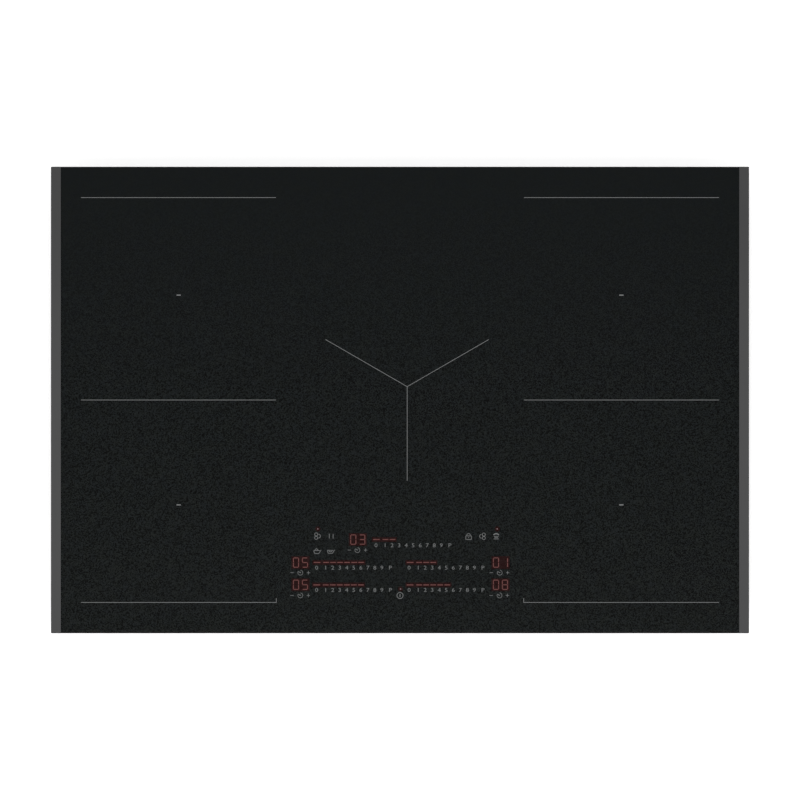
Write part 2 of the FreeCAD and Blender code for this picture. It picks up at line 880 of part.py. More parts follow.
def make_power_parts():
    transistors = []
    capacitors = []
    standing = ("board_top", "board_top + transistor_height")
    lying = ("board_top", "board_top + capacitor_height")
    near = "sink_outer + transistor_gap + transistor_thick / 2"
    for side in (-1, 1):
        for index in range(int(number("transistor_count"))):
            y = f"transistor_pitch * ({index} - (transistor_count - 1) / 2)"
            wide = around(f"{side} * ({near})", "transistor_thick")
            transistors.append(block("Transistor", wide, around(y, "transistor_width"), standing))
        for index in range(int(number("capacitor_count"))):
            y = f"capacitor_pitch * ({index} - (capacitor_count - 1) / 2)"
            wide = around(f"{side} * capacitor_x", "capacitor_width")
            capacitors.append(block("Film", wide, around(y, "capacitor_length"), lying))
            capacitors.append(rod("Can", "can_radius", "can_height", f"{side} * can_x", y, "board_top"))
    node("power_transistors", group("power_transistors", transistors))
    node("capacitors", group("capacitors", capacitors))


def make_filter_parts():
    middle = "(filter_front + filter_rear) / 2"
    top = "board_top"
    ring = rod("Choke", "choke_radius", "choke_height", "-choke_x", middle, top)
    core = rod("ChokeHole", "choke_hole", "choke_height", "-choke_x", middle, top)
    pieces = [boolean("Part::Cut", "ChokeRing", ring, core)]
    wide = around("choke_x - film_width / 2 - film_gap", "film_width")
    for side in (-1, 1):
        y = f"{middle} + {side} * (film_depth + film_gap) / 2"
        pieces.append(block("FilterFilm", wide, around(y, "film_depth"), (top, f"{top} + film_height")))
    disc_x = "filter_half - 3 * support_inset"
    pieces.append(rod("Varistor", "can_radius / 2", "can_height / 2", disc_x, middle, top))
    node("filter_components", group("filter_components", pieces))


def make_fan_housings():
    body = new_body("fan_housing_right", "fan_x", "fan_y", "tray_sheet")
    drawing = draw(body)
    rectangle(drawing, both("fan_width / 2"), both("fan_length / 2"))
    solid = pad(body, drawing, "fan_height")
    hollow(body, solid, FreeCAD.Vector(0, -1, 0), "fan_wall")
    inlet = draw(body)
    circle(inlet, "inlet_radius")
    pocket(body, inlet, "fan_wall", back=True)
    node("fan_housing_right", body)
    node("fan_housing_left", mirrored("fan_housing_left", body))


def make_impellers():
    for side, label in ((1, "fan_impeller_right"), (-1, "fan_impeller_left")):
        body = new_body(label, f"{side} * fan_x", "fan_y", "impeller_low")
        disc = draw(body, level="impeller_height - impeller_disc")
        circle(disc, "impeller_radius")
        pad(body, disc, "impeller_disc")
        hub = draw(body)
        circle(hub, "hub_radius")
        pad(body, hub, "impeller_height")
        rim = draw(body)
        circle(rim, "impeller_radius")
        circle(rim, "impeller_radius - blade_length")
        pad(body, rim, "impeller_disc")
        blade = draw(body)
        rectangle(blade, ("impeller_radius - blade_length", "impeller_radius - blade_thick / 2"),
                  both("blade_thick / 2"))
        ring_of(body, pad(body, blade, "impeller_height"), "blade_count")
        cup = draw(body)
        circle(cup, "hub_radius - hub_wall")
        pocket(body, cup, "impeller_height - shaft_length", back=True)
        bore = draw(body)
        circle(bore, "shaft_radius + pin_fit")
        pocket(body, bore)
        node(label, body)


def make_fan_motors():
    motors = []
    for side in (-1, 1):
        x = f"{side} * fan_x"
        pieces = [rod("Spider", "hub_radius", "fan_wall", x, "fan_y", "fan_floor")]
        for turn in (90, 210, 330):
            arm = doc.addObject("Part::Box", "Arm")
            bind(arm, Length="arm_reach", Width="arm_width", Height="fan_wall")
            arm.Placement.Rotation = FreeCAD.Rotation(FreeCAD.Vector(0, 0, 1), turn)
            lean = math.radians(turn)
            place(arm, f"{x} + {math.sin(lean):.9f} * arm_width / 2",
                  f"fan_y - {math.cos(lean):.9f} * arm_width / 2", "fan_floor")
            pieces.append(arm)
        can_top = "impeller_low + impeller_height - shaft_length - impeller_disc"
        pieces.append(rod("MotorCan", "motor_radius", f"{can_top} - fan_floor", x, "fan_y", "fan_floor"))
        pieces.append(rod("Shaft", "shaft_radius", "impeller_low + impeller_height - fan_floor",
                          x, "fan_y", "fan_floor"))
        motors.append(fuse("Motor", pieces))
    node("fan_motors", group("fan_motors", motors))


# The coil units: each has a sprung plate with its formers, ferrites, windings, mica sheets and sensors.

SIDE_COILS = (("coil_x", "coil_y"), ("coil_x", "-coil_y"))
CENTRE_COIL = (("centre_coil_x", "centre_coil_y"),)
SIDE_POSTS = (
    ("plate_out - post_from_side", "plate_half_y - post_from_end"),
    ("plate_out - post_from_side", "-plate_half_y + post_from_end"),
    ("plate_in + post_from_inner", "0"))
CENTRE_POSTS = tuple(
    (f"centre_coil_x {x} centre_post_x", f"centre_coil_y {y} centre_post_y") for x in "-+" for y in "-+")


def disc(name, x, y, z, half_x, half_y, corner, thick, hole):
    """A flat coil layer: a rounded rectangle, or a round one where the corner is as large as the halves."""
    body = new_body(name, x, y, z)
    drawing = draw(body)
    if half_x == corner:
        circle(drawing, half_x)
        pad(body, drawing, thick)
    else:
        rectangle(drawing, both(half_x), both(half_y))
        round_corners(body, pad(body, drawing, thick), corner)
    window = draw(body)
    circle(window, hole)
    pocket(body, window, thick, back=True)
    return body


def add_ferrite_slots(body):
    drawing = draw(body)
    rectangle(drawing, ("ferrite_inner", "ferrite_inner + ferrite_length"), both("ferrite_width / 2"))
    ring_of(body, pocket(body, drawing, "ferrite_thick", back=True), "ferrite_count")


def ferrites(name, x, y):
    bars = []
    count = int(number("ferrite_count"))
    for index in range(count):
        turn = 360 * index / count
        bar = doc.addObject("Part::Box", name)
        bind(bar, Length="ferrite_length - 2 * ferrite_play", Width="ferrite_width - 2 * ferrite_play",
             Height="ferrite_thick - ferrite_play")
        bar.Placement.Rotation = FreeCAD.Rotation(FreeCAD.Vector(0, 0, 1), turn)
        along = (math.cos(math.radians(turn)), math.sin(math.radians(turn)))
        start = "(ferrite_inner + ferrite_play)"
        aside = "(ferrite_width / 2 - ferrite_play)"
        place(bar, f"{x} + {along[0]:.9f} * {start} + {along[1]:.9f} * {aside}",
              f"{y} + {along[1]:.9f} * {start} - {along[0]:.9f} * {aside}", "former_under")
        bars.append(bar)
    return bars


def sensor(name, x, y):
    """A temperature sensor held in the middle of a coil, just under the glass."""
    foot = rod(name, "sensor_flange", "sensor_flange_thick", x, y, "former_under")
    stem = rod(name, "sensor_radius", "rim_height - coil_gap - former_under", x, y, "former_under")
    return fuse(name, [foot, stem])


def coil_layers(tag, coils, sizes):
    """The nodes above one plate, keyed by what they are."""
    half_x, half_y, corner = sizes
    kinds = ("formers", "ferrites", "windings", "mica", "sensors")
    layers = {f"coil_{kind}": [] for kind in kinds}
    for x, y in coils:
        grown = [f"{size} + former_margin" for size in sizes]
        former = disc("Former", x, y, "former_under", *grown, "former_thick", "hub_hole")
        add_ferrite_slots(former)
        layers["coil_formers"].append(former)
        layers["coil_ferrites"] += ferrites("Ferrite", x, y)
        layers["coil_windings"].append(disc("Winding", x, y, "winding_under", half_x, half_y, corner,
                                            "winding_thick", "winding_inner"))
        cover = [f"{size} + mica_margin" for size in sizes]
        layers["coil_mica"].append(disc("Mica", x, y, "mica_under", *cover, "mica_thick", "hub_hole"))
        layers["coil_sensors"].append(sensor("Sensor", x, y))
    return {f"{name}_{tag}": items for name, items in layers.items()}


def make_coil_plate(name, centre, halves, posts):
    body = new_body(name, z="plate_under")
    drawing = draw(body)
    rectangle(drawing, (f"{centre[0]} - {halves[0]}", f"{centre[0]} + {halves[0]}"),
              (f"{centre[1]} - {halves[1]}", f"{centre[1]} + {halves[1]}"))
    for x, y in posts:
        circle(drawing, "pin_radius + slide_fit", x, y)
    pad(body, drawing, "plate_thick")
    return body


def biarc(start, start_way, end, end_way):
    """Two arcs that leave one point and reach another along given directions."""
    chord = end - start
    ways = start_way + end_way
    square = 2 * (1 - start_way.dot(end_way))
    reach = (-chord.dot(ways) + math.sqrt(chord.dot(ways) ** 2 + square * chord.dot(chord))) / square
    middle = (start + end + (start_way - end_way) * reach) * 0.5
    return [Part.Arc(start, start_middle(start, start_way, middle), middle).toShape(),
            Part.Arc(middle, start_middle(end, end_way * -1, middle), end).toShape()]


def start_middle(start, way, end):
    """The middle point of the arc that leaves the start along a direction and ends at the end."""
    chord = end - start
    across = chord - way * chord.dot(way)
    half = 0.5 * math.atan2(across.Length, chord.dot(way))
    along = chord * 0.5
    side = way * chord.dot(chord) - chord * chord.dot(way)
    side.normalize()
    return start + along + side * (chord.Length / 2 * math.tan(half))


def spring_shape(radius, wire, turns, height):
    """A compression spring from quarter-turn steps, its wire's middle starting half a wire up."""
    climb = (height - wire) / turns
    slope = climb / (2 * math.pi)
    steps = 4 * turns
    points = []
    ways = []
    for index in range(steps + 1):
        turn = math.pi / 2 * index
        rise = wire / 2 + slope * turn
        points.append(FreeCAD.Vector(radius * math.cos(turn), radius * math.sin(turn), rise))
        way = FreeCAD.Vector(-radius * math.sin(turn), radius * math.cos(turn), slope)
        ways.append(way.normalize())
    edges = []
    for index in range(steps):
        edges += biarc(points[index], ways[index], points[index + 1], ways[index + 1])
    path = Part.Wire(edges)
    circle_edge = Part.Circle(points[0], ways[0], wire / 2).toShape()
    print("spring: least gap between turns", round(climb - wire, 3))
    return path.makePipeShell([Part.Wire(circle_edge)], True, False)


def make_springs(name, posts):
    height = number("plate_under") - number("shoulder") - 2 * number("spring_play")
    shape = spring_shape(number("spring_radius"), number("spring_wire"), int(number("spring_turns")), height)
    springs = []
    for x, y in posts:
        item = doc.addObject("Part::Feature", "Spring")
        item.Shape = shape
        place(item, x, y, "shoulder + spring_play")
        springs.append(item)
    return springs


def make_coil_units():
    side_sizes = ("winding_half_x", "winding_half_y", "winding_corner")
    units = coil_layers("right", SIDE_COILS, side_sizes)
    units["coil_springs_right"] = make_springs("right", SIDE_POSTS)
    for label, items in units.items():
        right = node(label, group(label, items))
        left = label.replace("right", "left")
        node(left, mirrored(left, right))
    plate = make_coil_plate("coil_plate_right", ("coil_x", "0"), ("plate_half_x", "plate_half_y"), SIDE_POSTS)
    node("coil_plate_right", plate)
    node("coil_plate_left", mirrored("coil_plate_left", plate))
    units = coil_layers("centre", CENTRE_COIL, ("centre_winding",) * 3)
    units["coil_springs_centre"] = make_springs("centre", CENTRE_POSTS)
    for label, items in units.items():
        node(label, group(label, items))
    node("coil_plate_centre", make_coil_plate("coil_plate_centre", ("centre_coil_x", "centre_coil_y"),
                                              ("centre_plate_half", "centre_plate_half"), CENTRE_POSTS))


def make_posts():
    posts = []
    spots = list(CENTRE_POSTS)
    for x, y in SIDE_POSTS:
        spots += [(x, y), (f"-({x})", y)]
    for x, y in spots:
        foot = rod("PostFoot", "post_radius", "post_height", x, y, "tray_sheet")
        pin = rod("PostPin", "pin_radius", "former_under + pin_over - tray_sheet", x, y, "tray_sheet")
        posts.append(fuse("Post", [foot, pin]))
    node("coil_posts", group("coil_posts", posts))


def make_control_unit():
    body = new_body("control_housing")
    drawing = draw(body, level="control_low")
    depth = ("-control_front", "-control_rear")
    rectangle(drawing, both("control_half"), depth)
    solid = pad(body, drawing, "control_board_under - control_low")
    hollow(body, solid, FreeCAD.Vector(0, 0, 1), "control_wall")
    legs = draw(body, level="tray_sheet")
    for side in (-1, 1):
        for y in ("-control_front + control_leg", "-control_rear - control_leg"):
            circle(legs, "control_leg", f"{side} * (control_half - control_leg)", y)
    pad(body, legs, "control_low - tray_sheet")
    node("control_housing", body)
    board = new_body("control_board", z="control_board_under")
    drawing = draw(board)
    rectangle(drawing, both("control_half"), depth)
    pad(board, drawing, "board_thick")
    node("control_board", board)


def make_displays():
    displays = []
    pads = []
    rows = (("0", 0), ("-display_x", 1), ("display_x", 1), ("-display_x", 2), ("display_x", 2))
    for x, index in rows:
        line = f"-rear_row_y - row_pitch * {index}"
        displays.append(block("Display", around(x, "display_width"), around(line, "display_depth"),
                              ("control_board_top", "control_board_top + display_height")))
        for step in range(-2, 3):
            pads.append(rod("TouchPad", "pad_radius", "rim_height - pad_gap - control_board_top",
                            f"{x} + pad_pitch * {step}", f"{line} - pad_drop", "control_board_top"))
    node("display_modules", group("display_modules", displays))
    node("touch_pads", group("touch_pads", pads))


def make_everything():
    fill_sheet()
    make_glass()
    make_trims()
    make_zone_print()
    make_seal()
    make_glass_frame()
    make_bond()
    make_tray()
    make_casing_screws()
    make_snap_springs()
    make_spring_holders()
    make_terminal_lid()
    make_terminal_block()
    make_terminal_screws()
    make_gland()
    make_boards()
    make_heatsinks()
    make_power_parts()
    make_filter_parts()
    make_fan_housings()
    make_impellers()
    make_fan_motors()
    make_coil_units()
    make_posts()
    make_control_unit()
    make_displays()
    doc.recompute()


def check_and_write():
    for item in doc.Objects:
        if "Invalid" in item.State or "Error" in item.State:
            raise RuntimeError(f"{item.Label} did not rebuild")
        if item.isDerivedFrom("PartDesign::Pocket") and item.Shape.Volume >= item.BaseFeature.Shape.Volume:
            raise RuntimeError(f"{item.Label} cuts nothing")
    os.makedirs("parts", exist_ok=True)
    for label, item in nodes.items():
        if item.Shape.isNull() or not item.Shape.isValid():
            raise RuntimeError(f"{label} has no sound shape")
        item.Shape.exportStep(f"parts/{label}.step")
    print(len(nodes), "nodes written")


make_everything()
check_and_write()
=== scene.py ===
import json
import math

import bmesh
import bpy
from mathutils import Matrix, Vector


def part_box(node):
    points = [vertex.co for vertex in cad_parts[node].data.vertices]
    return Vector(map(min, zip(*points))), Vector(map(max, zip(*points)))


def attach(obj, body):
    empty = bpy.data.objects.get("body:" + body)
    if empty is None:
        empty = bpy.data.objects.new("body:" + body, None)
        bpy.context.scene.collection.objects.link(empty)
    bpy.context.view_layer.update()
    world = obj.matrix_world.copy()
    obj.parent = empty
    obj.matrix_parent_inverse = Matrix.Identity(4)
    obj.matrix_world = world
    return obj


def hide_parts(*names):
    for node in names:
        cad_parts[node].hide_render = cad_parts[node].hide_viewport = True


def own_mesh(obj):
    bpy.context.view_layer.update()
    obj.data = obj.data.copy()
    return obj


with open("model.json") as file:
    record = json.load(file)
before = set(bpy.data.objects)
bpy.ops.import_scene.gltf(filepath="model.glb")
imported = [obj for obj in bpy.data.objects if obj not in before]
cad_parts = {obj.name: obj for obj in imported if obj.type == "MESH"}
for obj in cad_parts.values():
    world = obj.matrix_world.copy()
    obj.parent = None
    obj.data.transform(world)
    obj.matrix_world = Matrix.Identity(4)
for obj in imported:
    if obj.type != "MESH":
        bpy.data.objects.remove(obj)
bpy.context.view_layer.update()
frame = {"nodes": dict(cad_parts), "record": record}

mm = 0.001
scene = bpy.context.scene
scene.view_settings.view_transform = "Standard"
cadNodes = frame["nodes"]
slotOf = {part["node"]: part["material_slot"] for part in frame["record"]["subparts"]}
photoScale = 1.11449  # millimetres on the glass for each pixel of the photograph
photoSide = 800  # pixels
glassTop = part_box("glass_panel")[1][2]
print("frame loaded:", len(cadNodes), "nodes")


def pixels(count):
    return count * photoScale * mm


# Camera, floor and light

cameraSetup = {"height": 6.0, "frameWidth": pixels(photoSide), "sensor": 36.0, "farthest": 40}
floorSetup = {"size": 9.0, "drop": 0.2 * mm, "colour": (0.86, 0.86, 0.86), "rough": 0.9, "glow": 0.5}
lightSetup = {
    "worldSoft": 0.62,
    "frontSize": 2.2, "frontPower": 27.0, "frontPlace": (0, -1.4, 2.6),
    "rearSize": 2.6, "rearPower": 14.0, "rearPlace": (0, 1.3, 2.8),
}


def makeCamera():
    view = bpy.data.cameras.new("photoView")
    view.sensor_width = cameraSetup["sensor"]
    view.lens = cameraSetup["sensor"] * (cameraSetup["height"] - glassTop) / cameraSetup["frameWidth"]
    view.clip_end = cameraSetup["farthest"]
    camera = bpy.data.objects.new("photoView", view)
    camera.location = (0, 0, cameraSetup["height"])
    scene.collection.objects.link(camera)
    scene.camera = camera


def seenRay(tree):  # 1 for rays that carry a picture of the surface, 0 for those that only light others
    path = tree.nodes.new("ShaderNodeLightPath")
    first = tree.nodes.new("ShaderNodeMath")
    first.operation = "MAXIMUM"
    tree.links.new(path.outputs["Is Camera Ray"], first.inputs[0])
    tree.links.new(path.outputs["Is Glossy Ray"], first.inputs[1])
    second = tree.nodes.new("ShaderNodeMath")
    second.operation = "MAXIMUM"
    tree.links.new(first.outputs[0], second.inputs[0])
    tree.links.new(path.outputs["Is Transmission Ray"], second.inputs[1])
    return second.outputs[0]


def makeWorld():
    world = bpy.data.worlds.new("studio")
    scene.world = world
    world.use_nodes = True
    tree = world.node_tree
    back = tree.nodes["Background"]
    back.inputs["Color"].default_value = (1, 1, 1, 1)
    level = tree.nodes.new("ShaderNodeMapRange")
    level.inputs["To Min"].default_value = lightSetup["worldSoft"]
    level.inputs["To Max"].default_value = 1.0
    tree.links.new(seenRay(tree), level.inputs["Value"])
    tree.links.new(level.outputs["Result"], back.inputs["Strength"])


def makeLamp(name):
    lamp = bpy.data.lights.new(name, "AREA")
    lamp.shape = "DISK"
    lamp.size = lightSetup[name + "Size"]
    lamp.energy = lightSetup[name + "Power"]
    place = bpy.data.objects.new(name, lamp)
    place.location = lightSetup[name + "Place"]
    place.rotation_euler = (-Vector(place.location)).to_track_quat("-Z", "Y").to_euler()
    scene.collection.objects.link(place)


def makeFloor():
    bm = bmesh.new()
    bmesh.ops.create_grid(bm, x_segments=1, y_segments=1, size=floorSetup["size"] / 2,
                          matrix=Matrix.Translation((0, 0, -floorSetup["drop"])))
    floor = meshObject("floor", bm)
    mat = bpy.data.materials.new("paleFloor")
    mat.use_nodes = True
    tree = mat.node_tree
    skin = tree.nodes["Principled BSDF"]
    skin.inputs["Base Color"].default_value = (*floorSetup["colour"], 1)
    skin.inputs["Roughness"].default_value = floorSetup["rough"]
    skin.inputs["Emission Color"].default_value = (1, 1, 1, 1)
    glow = tree.nodes.new("ShaderNodeMath")
    glow.operation = "MULTIPLY"
    glow.inputs[1].default_value = floorSetup["glow"]
    tree.links.new(seenRay(tree), glow.inputs[0])
    tree.links.new(glow.outputs[0], skin.inputs["Emission Strength"])
    floor.data.materials.append(mat)


def meshObject(name, bm):
    mesh = bpy.data.meshes.new(name)
    bm.to_mesh(mesh)
    bm.free()
    made = bpy.data.objects.new(name, mesh)
    scene.collection.objects.link(made)
    return made


# Shader groups that several finishes share

def newGroup(name, inputs, outputs):
    group = bpy.data.node_groups.new(name, "ShaderNodeTree")
    for label, kind, value in inputs:
        socket = group.interface.new_socket(label, in_out="INPUT", socket_type=kind)
        if value is not None:
            socket.default_value = value
    for label, kind in outputs:
        group.interface.new_socket(label, in_out="OUTPUT", socket_type=kind)
    return group, group.nodes.new("NodeGroupInput"), group.nodes.new("NodeGroupOutput")


def makeGrainGroup():
    group, given, out = newGroup(
        "surfaceGrain",
        [("Vector", "NodeSocketVector", None), ("Scale", "NodeSocketFloat", 200.0),
         ("Detail", "NodeSocketFloat", 3.0), ("Low", "NodeSocketFloat", 0.35),
         ("High", "NodeSocketFloat", 0.65)],
        [("Mask", "NodeSocketFloat")])
    noise = group.nodes.new("ShaderNodeTexNoise")
    spread = group.nodes.new("ShaderNodeMapRange")
    for label in ("Vector", "Scale", "Detail"):
        group.links.new(given.outputs[label], noise.inputs[label])
    group.links.new(noise.outputs["Fac"], spread.inputs["Value"])
    group.links.new(given.outputs["Low"], spread.inputs["From Min"])
    group.links.new(given.outputs["High"], spread.inputs["From Max"])
    group.links.new(spread.outputs["Result"], out.inputs["Mask"])
    return group


def makeCellGroup():  # plain cells, each with its own grey
    group, given, out = newGroup(
        "cellTone",
        [("Vector", "NodeSocketVector", None), ("Scale", "NodeSocketFloat", 90.0),
         ("Wander", "NodeSocketFloat", 0.0)],
        [("Mask", "NodeSocketFloat")])
    noise = group.nodes.new("ShaderNodeTexNoise")
    moved = group.nodes.new("ShaderNodeVectorMath")
    moved.operation = "MULTIPLY_ADD"
    wander = group.nodes.new("ShaderNodeCombineXYZ")
    cells = group.nodes.new("ShaderNodeTexVoronoi")
    shade = group.nodes.new("ShaderNodeSeparateColor")
    group.links.new(given.outputs["Vector"], noise.inputs["Vector"])
    group.links.new(given.outputs["Scale"], noise.inputs["Scale"])
    for label in ("X", "Y", "Z"):
        group.links.new(given.outputs["Wander"], wander.inputs[label])
    group.links.new(noise.outputs["Color"], moved.inputs[0])
    group.links.new(wander.outputs["Vector"], moved.inputs[1])
    group.links.new(given.outputs["Vector"], moved.inputs[2])
    group.links.new(moved.outputs["Vector"], cells.inputs["Vector"])
    group.links.new(given.outputs["Scale"], cells.inputs["Scale"])
    group.links.new(cells.outputs["Color"], shade.inputs["Color"])
    group.links.new(shade.outputs["Red"], out.inputs["Mask"])
    return group


wearLook = {"radius": 0.6 * mm, "scale": 300.0, "samples": 4, "from": 0.99, "full": 0.90}


def makeWearGroup():  # how worn a place is: most where the surface turns sharply
    group, given, out = newGroup(
        "edgeWear",
        [("Vector", "NodeSocketVector", None), ("Radius", "NodeSocketFloat", wearLook["radius"]),
         ("Scale", "NodeSocketFloat", wearLook["scale"])],
        [("Mask", "NodeSocketFloat")])
    rounded = group.nodes.new("ShaderNodeBevel")
    rounded.samples = wearLook["samples"]
    shape = group.nodes.new("ShaderNodeNewGeometry")
    same = group.nodes.new("ShaderNodeVectorMath")
    same.operation = "DOT_PRODUCT"
    edge = group.nodes.new("ShaderNodeMapRange")
    noise = group.nodes.new("ShaderNodeTexNoise")
    worn = group.nodes.new("ShaderNodeMath")
    worn.operation = "MULTIPLY"
    group.links.new(given.outputs["Radius"], rounded.inputs["Radius"])
    group.links.new(rounded.outputs["Normal"], same.inputs[0])
    group.links.new(shape.outputs["Normal"], same.inputs[1])
    group.links.new(same.outputs["Value"], edge.inputs["Value"])
    edge.inputs["From Min"].default_value = wearLook["from"]
    edge.inputs["From Max"].default_value = wearLook["full"]
    group.links.new(given.outputs["Vector"], noise.inputs["Vector"])
    group.links.new(given.outputs["Scale"], noise.inputs["Scale"])
    group.links.new(edge.outputs["Result"], worn.inputs[0])
    group.links.new(noise.outputs["Fac"], worn.inputs[1])
    group.links.new(worn.outputs[0], out.inputs["Mask"])
    return group


grainGroup = makeGrainGroup()
cellGroup = makeCellGroup()
wearGroup = makeWearGroup()


def useGroup(tree, group, vector, **values):
    node = tree.nodes.new("ShaderNodeGroup")
    node.node_tree = group
    tree.links.new(vector, node.inputs["Vector"])
    for label, value in values.items():
        node.inputs[label].default_value = value
    return node.outputs["Mask"]


def placeVector(tree, stretch=(1, 1, 1)):
    coords = tree.nodes.new("ShaderNodeTexCoord")
    mapping = tree.nodes.new("ShaderNodeMapping")
    mapping.inputs["Scale"].default_value = stretch
    tree.links.new(coords.outputs["Object"], mapping.inputs["Vector"])
    return mapping.outputs["Vector"]


def blendColours(tree, mask, first, second):
    mix = tree.nodes.new("ShaderNodeMix")
    mix.data_type = "RGBA"
    tree.links.new(mask, mix.inputs["Factor"])
    mix.inputs["A"].default_value = (*first, 1)
    mix.inputs["B"].default_value = (*second, 1)
    return mix.outputs["Result"]


def mixSockets(tree, mask, first, second):
    mix = tree.nodes.new("ShaderNodeMix")
    mix.data_type = "RGBA"
    tree.links.new(mask, mix.inputs["Factor"])
    tree.links.new(first, mix.inputs["A"])
    tree.links.new(second, mix.inputs["B"])
    return mix.outputs["Result"]


def blendValues(tree, share, first, second):
    mix = tree.nodes.new("ShaderNodeMix")
    mix.inputs["Factor"].default_value = share
    tree.links.new(first, mix.inputs["A"])
    tree.links.new(second, mix.inputs["B"])
    return mix.outputs["Result"]


def plainColour(tree, colour):
    node = tree.nodes.new("ShaderNodeRGB")
    node.outputs[0].default_value = (*colour, 1)
    return node.outputs[0]


def spreadValue(tree, mask, low, high, fromLow=0.0, fromHigh=1.0):
    spread = tree.nodes.new("ShaderNodeMapRange")
    tree.links.new(mask, spread.inputs["Value"])
    for label, value in (("From Min", fromLow), ("From Max", fromHigh), ("To Min", low), ("To Max", high)):
        spread.inputs[label].default_value = value
    return spread.outputs["Result"]


def addBump(tree, skin, mask, depth, strength=0.5):
    bump = tree.nodes.new("ShaderNodeBump")
    bump.inputs["Distance"].default_value = depth
    bump.inputs["Strength"].default_value = strength
    tree.links.new(mask, bump.inputs["Height"])
    tree.links.new(bump.outputs["Normal"], skin.inputs["Normal"])


# Finishes: two colours that the grain mixes, the grain's scale, roughness, metal and bump, and where they are
# given the stretch of the grain, the colour of worn edges and how far the edges of zinc crystals wander

finishes = {
    "foam": {"dark": (0.012, 0.012, 0.013), "light": (0.030, 0.030, 0.031), "grain": 1400,
             "rough": (0.85, 0.98), "bump": 0.25 * mm},
    "silicone": {"dark": (0.022, 0.022, 0.023), "light": (0.034, 0.034, 0.035), "grain": 160,
                 "rough": (0.42, 0.6), "bump": 0.05 * mm},
    "galvanised": {"dark": (0.285, 0.295, 0.30), "light": (0.37, 0.382, 0.388), "grain": 105,
                   "rough": (0.30, 0.46), "metal": 0.9, "crystalWander": 3 * mm, "bump": 0.01 * mm,
                   "worn": (0.70, 0.71, 0.72)},
    "screw_steel": {"dark": (0.50, 0.50, 0.47), "light": (0.66, 0.66, 0.63), "grain": 900,
                    "rough": (0.2, 0.35), "metal": 1.0, "bump": 0.01 * mm},
    "black_plastic": {"dark": (0.014, 0.014, 0.015), "light": (0.024, 0.024, 0.025), "grain": 1800,
                      "rough": (0.5, 0.68), "bump": 0.04 * mm, "worn": (0.06, 0.06, 0.062)},
    "grey_plastic": {"dark": (0.19, 0.19, 0.20), "light": (0.25, 0.25, 0.26), "grain": 1500,
                     "rough": (0.5, 0.66), "bump": 0.03 * mm},
    "contact_brass": {"dark": (0.58, 0.40, 0.14), "light": (0.74, 0.55, 0.24), "grain": 500,
                      "rough": (0.22, 0.38), "metal": 1.0, "bump": 0.01 * mm},
    "board_green": {"dark": (0.012, 0.09, 0.035), "light": (0.025, 0.16, 0.065), "grain": 420,
                    "rough": (0.3, 0.42), "bump": 0.02 * mm, "stretch": (1, 0.25, 1)},
    "component_dark": {"dark": (0.016, 0.016, 0.019), "light": (0.034, 0.034, 0.040), "grain": 1300,
                       "rough": (0.45, 0.65), "bump": 0.03 * mm},
    "plain_aluminium": {"dark": (0.60, 0.61, 0.62), "light": (0.76, 0.77, 0.78), "grain": 900,
                        "rough": (0.26, 0.42), "metal": 1.0, "bump": 0.012 * mm, "stretch": (1, 0.04, 1)},
    "capacitor_blue": {"dark": (0.015, 0.07, 0.24), "light": (0.03, 0.11, 0.34), "grain": 260,
                       "rough": (0.15, 0.28), "bump": 0.02 * mm},
    "white_plastic": {"dark": (0.62, 0.61, 0.56), "light": (0.73, 0.72, 0.68), "grain": 1200,
                      "rough": (0.5, 0.65), "bump": 0.03 * mm},
    "fan_plastic": {"dark": (0.030, 0.030, 0.034), "light": (0.052, 0.052, 0.057), "grain": 1100,
                    "rough": (0.34, 0.5), "bump": 0.02 * mm},
    "motor_metal": {"dark": (0.08, 0.08, 0.085), "light": (0.14, 0.14, 0.15), "grain": 700,
                    "rough": (0.3, 0.45), "metal": 0.6, "bump": 0.01 * mm},
    "post_steel": {"dark": (0.46, 0.46, 0.45), "light": (0.60, 0.60, 0.59), "grain": 800,
                   "rough": (0.22, 0.36), "metal": 1.0, "bump": 0.01 * mm, "stretch": (0.1, 0.1, 1)},
    "display_black": {"dark": (0.006, 0.006, 0.007), "light": (0.014, 0.014, 0.015), "grain": 300,
                      "rough": (0.1, 0.2), "bump": 0.005 * mm},
    "pad_rubber": {"dark": (0.035, 0.035, 0.038), "light": (0.065, 0.065, 0.07), "grain": 1700,
                   "rough": (0.8, 0.95), "bump": 0.1 * mm},
    "spring_steel": {"dark": (0.38, 0.38, 0.39), "light": (0.46, 0.46, 0.47), "grain": 1300,
                     "rough": (0.24, 0.32), "metal": 1.0, "bump": 0.004 * mm, "worn": (0.60, 0.60, 0.61)},
    "ferrite": {"dark": (0.020, 0.020, 0.021), "light": (0.045, 0.044, 0.046), "grain": 1500,
                "rough": (0.5, 0.7), "bump": 0.04 * mm},
    "copper_litz": {"dark": (0.34, 0.11, 0.04), "light": (0.66, 0.28, 0.12), "grain": 1400,
                    "rough": (0.26, 0.44), "metal": 0.85, "bump": 0.12 * mm},
    "mica": {"dark": (0.44, 0.39, 0.30), "light": (0.62, 0.57, 0.46), "grain": 110,
             "rough": (0.25, 0.5), "bump": 0.02 * mm},
    "sensor_ceramic": {"dark": (0.70, 0.69, 0.66), "light": (0.80, 0.79, 0.76), "grain": 900,
                       "rough": (0.4, 0.55), "bump": 0.01 * mm},
}
crystalLook = {"mottleScale": 6, "mottleShare": 0.3}


